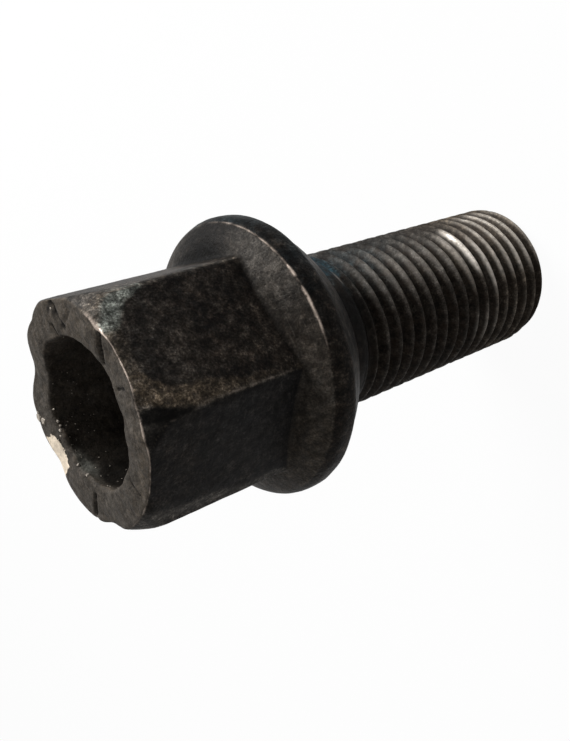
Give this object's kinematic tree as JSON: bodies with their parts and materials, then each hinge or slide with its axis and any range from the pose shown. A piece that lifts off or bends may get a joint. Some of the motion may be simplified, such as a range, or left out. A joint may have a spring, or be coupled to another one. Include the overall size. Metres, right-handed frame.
{
  "type": "wheel bolt",
  "caption": "Threaded wheel bolt with a ball seat, a round flange and a hollow hexagon head, worn dark steel.",
  "frame": {"origin": "centre of the flat tip face, on the thread axis, at the lowest point", "axes": "+Z along the bolt axis from the threaded tip to the hollow head, +X towards a corner of the hexagon, +Y completes the right-handed frame"},
  "size_m": [0.0234, 0.0234, 0.0481],
  "materials": {
    "steel": "worn dark phosphate over forged steel, bare and tan on rubbed edges"
  },
  "bodies": {
    "root": {"wheel_bolt": "steel"}
  },
  "joints": []
}
